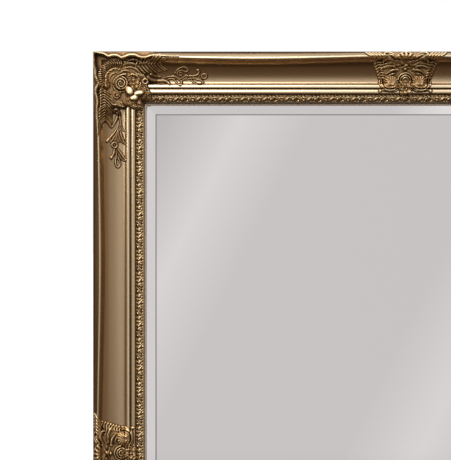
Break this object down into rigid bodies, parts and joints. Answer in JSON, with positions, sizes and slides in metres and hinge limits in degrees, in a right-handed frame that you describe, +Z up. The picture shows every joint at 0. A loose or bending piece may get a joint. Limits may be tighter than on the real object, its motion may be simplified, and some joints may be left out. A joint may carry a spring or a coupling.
{
  "type": "cheval floor mirror",
  "caption": "Full-length bevelled mirror in a swept antique-gold frame with cast leaf and shell ornaments, standing on a folding easel leg with slotted stays.",
  "frame": {"origin": "on the floor, under the middle of the standing object's bounding box", "axes": "+X to the right as seen from the front, +Y backwards, +Z up; the glass faces -Y and leans back 9 degrees"},
  "size_m": [0.7, 0.4562, 1.7866],
  "materials": {
    "gilded_wood": "antique gold leaf and patina on gesso over softwood",
    "gilded_composition": "cast composition, antique gold leaf with brown patina in the hollows",
    "mirror_glass": "silvered, bevelled and polished",
    "foam": "closed-cell foam sheet",
    "fibreboard": "plain hardboard",
    "stained_wood": "stained, thin satin lacquer",
    "plated_steel": "zinc plated",
    "bright_steel": "nickel plated, turned",
    "nylon": "natural nylon",
    "rubber": "moulded black rubber"
  },
  "bodies": {
    "frame": {"back_panel": "fibreboard", "batten_screws": "plated_steel", "bottom_rail": "gilded_wood", "bracket_screws": "plated_steel", "carved_band_bottom": "gilded_composition", "carved_band_left": "gilded_composition", "carved_band_right": "gilded_composition", "carved_band_top": "gilded_composition", "corner_ornament_bottom_left": "gilded_composition", "corner_ornament_bottom_right": "gilded_composition", "corner_ornament_top_left": "gilded_composition", "corner_ornament_top_right": "gilded_composition", "corner_plate_screws": "plated_steel", "corner_plates": "plated_steel", "crest_ornament_bottom": "gilded_composition", "crest_ornament_top": "gilded_composition", "foam_sheet": "foam", "frame_feet": "rubber", "hanger_plates": "plated_steel", "hanger_screws": "plated_steel", "hinge_batten": "stained_wood", "left_leg_bracket": "plated_steel", "left_rail": "gilded_wood", "left_stay_bracket": "plated_steel", "mirror_glass": "mirror_glass", "panel_clip_screws": "plated_steel", "panel_clips": "plated_steel", "pivot_bolts": "bright_steel", "pivot_nuts": "bright_steel", "pivot_washers": "nylon", "right_leg_bracket": "plated_steel", "right_rail": "gilded_wood", "right_stay_bracket": "plated_steel", "side_ornament_left_lower": "gilded_composition", "side_ornament_left_middle": "gilded_composition", "side_ornament_left_upper": "gilded_composition", "side_ornament_right_lower": "gilded_composition", "side_ornament_right_middle": "gilded_composition", "side_ornament_right_upper": "gilded_composition", "stay_batten": "stained_wood", "stay_rivets": "bright_steel", "top_rail": "gilded_wood"},
    "leg": {"left_leg_stile": "stained_wood", "left_stay_track": "plated_steel", "leg_boots": "rubber", "leg_bottom_rail": "stained_wood", "leg_middle_rail": "stained_wood", "leg_top_rail": "stained_wood", "right_leg_stile": "stained_wood", "right_stay_track": "plated_steel", "track_screws": "plated_steel"},
    "left_stay": {"left_stay_arm": "plated_steel", "left_stay_stud": "bright_steel"},
    "left_thumb_nut": {"left_thumb_nut": "bright_steel"},
    "left_hanging_ring": {"left_d_ring": "plated_steel"},
    "right_stay": {"right_stay_arm": "plated_steel", "right_stay_stud": "bright_steel"},
    "right_thumb_nut": {"right_thumb_nut": "bright_steel"},
    "right_hanging_ring": {"right_d_ring": "plated_steel"}
  },
  "joints": [
    {"name": "leg_fold", "type": "hinge", "parent": "frame", "child": "leg", "pos_m": [0, 0.02948, 1.18361], "axis": [1, 0, 0], "range_deg": [-18, 0]},
    {"name": "left_stay_swing", "type": "hinge", "parent": "frame", "child": "left_stay", "pos_m": [-0.19425, -0.0018, 0.98607], "axis": [1, 0, 0], "range_deg": [-36, 0]},
    {"name": "left_thumb_nut_turn", "type": "hinge", "parent": "left_stay", "child": "left_thumb_nut", "pos_m": [-0.2005, 0.08899, 0.80787], "axis": [-1, 0, 0], "range_deg": [0, 360]},
    {"name": "left_ring_swing", "type": "hinge", "parent": "frame", "child": "left_hanging_ring", "pos_m": [-0.325, 0.05684, 1.52352], "axis": [1, 0, 0], "range_deg": [-9, 160]},
    {"name": "right_stay_swing", "type": "hinge", "parent": "frame", "child": "right_stay", "pos_m": [0.19425, -0.0018, 0.98607], "axis": [1, 0, 0], "range_deg": [-36, 0]},
    {"name": "right_thumb_nut_turn", "type": "hinge", "parent": "right_stay", "child": "right_thumb_nut", "pos_m": [0.2005, 0.08899, 0.80787], "axis": [1, 0, 0], "range_deg": [0, 360]},
    {"name": "right_ring_swing", "type": "hinge", "parent": "frame", "child": "right_hanging_ring", "pos_m": [0.325, 0.05684, 1.52352], "axis": [1, 0, 0], "range_deg": [-9, 160]}
  ],
  "couplings": [
    {"joint": "left_stay_swing", "follows": "leg_fold", "ratio": 2},
    {"joint": "right_stay_swing", "follows": "leg_fold", "ratio": 2}
  ]
}
